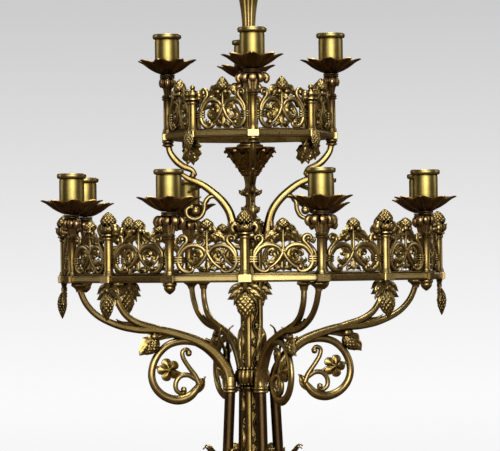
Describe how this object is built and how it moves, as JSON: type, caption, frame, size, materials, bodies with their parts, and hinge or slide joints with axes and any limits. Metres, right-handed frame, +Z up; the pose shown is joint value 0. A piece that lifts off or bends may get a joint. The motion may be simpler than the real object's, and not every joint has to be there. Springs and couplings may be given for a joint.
{
  "type": "candelabra",
  "caption": "Two-tier brass table candelabra: pierced crown galleries on scroll arms round a central column, with a turning candle cup and petalled drip pan on each candle post.",
  "frame": {"origin": "centre of the foot, on the surface it stands on", "axes": "+Z up along the column; -Y is the front, where a pinecone post of the lower gallery and a candle post of the upper gallery stand"},
  "size_m": [0.4232, 0.4232, 0.7424],
  "materials": {
    "polished_brass": "old polished brass, golden with a brown patina in the hollows",
    "cast_brass": "antique cast brass, worn bright on the high spots and dark brown in the recesses",
    "dark_bronze": "smooth dark bronze-brown patina",
    "steel": "plain oxidised steel"
  },
  "bodies": {
    "stand": {"base_casting": "cast_brass", "base_crown": "cast_brass", "tie_rod": "steel", "base_nut": "steel", "main_column": "cast_brass", "arm_collar": "cast_brass", "upper_spindle": "cast_brass", "calyx": "cast_brass", "fluted_stem": "polished_brass", "stay_rod_1": "dark_bronze", "stay_rod_2": "dark_bronze", "stay_rod_3": "dark_bronze", "stay_rod_4": "dark_bronze", "scroll_arm_1": "cast_brass", "scroll_arm_2": "cast_brass", "scroll_arm_3": "cast_brass", "scroll_arm_4": "cast_brass", "upper_arm_1": "cast_brass", "upper_arm_2": "cast_brass", "upper_arm_3": "cast_brass", "upper_arm_4": "cast_brass", "lower_gallery_rail": "cast_brass", "upper_gallery_rail": "cast_brass", "lower_fret_1": "cast_brass", "lower_fret_2": "cast_brass", "lower_fret_3": "cast_brass", "lower_fret_4": "cast_brass", "lower_fret_5": "cast_brass", "lower_fret_6": "cast_brass", "lower_fret_7": "cast_brass", "lower_fret_8": "cast_brass", "lower_candle_post_1": "cast_brass", "lower_candle_post_2": "cast_brass", "lower_candle_post_3": "cast_brass", "lower_candle_post_4": "cast_brass", "lower_candle_post_5": "cast_brass", "lower_candle_post_6": "cast_brass", "lower_candle_post_7": "cast_brass", "lower_candle_post_8": "cast_brass", "upper_fret_1": "cast_brass", "upper_fret_2": "cast_brass", "upper_fret_3": "cast_brass", "upper_fret_4": "cast_brass", "upper_candle_post_1": "cast_brass", "upper_candle_post_2": "cast_brass", "upper_candle_post_3": "cast_brass", "upper_candle_post_4": "cast_brass"},
    "candle_holder_1": {"sconce_1": "polished_brass"},
    "candle_holder_2": {"sconce_2": "polished_brass"},
    "candle_holder_3": {"sconce_3": "polished_brass"},
    "candle_holder_4": {"sconce_4": "polished_brass"},
    "candle_holder_5": {"sconce_5": "polished_brass"},
    "candle_holder_6": {"sconce_6": "polished_brass"},
    "candle_holder_7": {"sconce_7": "polished_brass"},
    "candle_holder_8": {"sconce_8": "polished_brass"},
    "candle_holder_9": {"sconce_9": "polished_brass"},
    "candle_holder_10": {"sconce_10": "polished_brass"},
    "candle_holder_11": {"sconce_11": "polished_brass"},
    "candle_holder_12": {"sconce_12": "polished_brass"},
    "candle_holder_13": {"sconce_13": "polished_brass"}
  },
  "joints": [
    {"name": "sconce_1_spin", "type": "hinge", "parent": "stand", "child": "candle_holder_1", "pos_m": [0.07501, -0.18108, 0.4488], "axis": [0, 0, 1], "continuous": true},
    {"name": "sconce_2_spin", "type": "hinge", "parent": "stand", "child": "candle_holder_2", "pos_m": [0.18108, -0.07501, 0.4488], "axis": [0, 0, 1], "continuous": true},
    {"name": "sconce_3_spin", "type": "hinge", "parent": "stand", "child": "candle_holder_3", "pos_m": [0.18108, 0.07501, 0.4488], "axis": [0, 0, 1], "continuous": true},
    {"name": "sconce_4_spin", "type": "hinge", "parent": "stand", "child": "candle_holder_4", "pos_m": [0.07501, 0.18108, 0.4488], "axis": [0, 0, 1], "continuous": true},
    {"name": "sconce_5_spin", "type": "hinge", "parent": "stand", "child": "candle_holder_5", "pos_m": [-0.07501, 0.18108, 0.4488], "axis": [0, 0, 1], "continuous": true},
    {"name": "sconce_6_spin", "type": "hinge", "parent": "stand", "child": "candle_holder_6", "pos_m": [-0.18108, 0.07501, 0.4488], "axis": [0, 0, 1], "continuous": true},
    {"name": "sconce_7_spin", "type": "hinge", "parent": "stand", "child": "candle_holder_7", "pos_m": [-0.18108, -0.07501, 0.4488], "axis": [0, 0, 1], "continuous": true},
    {"name": "sconce_8_spin", "type": "hinge", "parent": "stand", "child": "candle_holder_8", "pos_m": [-0.07501, -0.18108, 0.4488], "axis": [0, 0, 1], "continuous": true},
    {"name": "sconce_9_spin", "type": "hinge", "parent": "stand", "child": "candle_holder_9", "pos_m": [0.006, -0.08579, 0.596], "axis": [0, 0, 1], "continuous": true},
    {"name": "sconce_10_spin", "type": "hinge", "parent": "stand", "child": "candle_holder_10", "pos_m": [0.08579, 0.006, 0.596], "axis": [0, 0, 1], "continuous": true},
    {"name": "sconce_11_spin", "type": "hinge", "parent": "stand", "child": "candle_holder_11", "pos_m": [-0.006, 0.08579, 0.596], "axis": [0, 0, 1], "continuous": true},
    {"name": "sconce_12_spin", "type": "hinge", "parent": "stand", "child": "candle_holder_12", "pos_m": [-0.08579, -0.006, 0.596], "axis": [0, 0, 1], "continuous": true},
    {"name": "sconce_13_spin", "type": "hinge", "parent": "stand", "child": "candle_holder_13", "pos_m": [0, 0, 0.7], "axis": [0, 0, 1], "continuous": true}
  ]
}
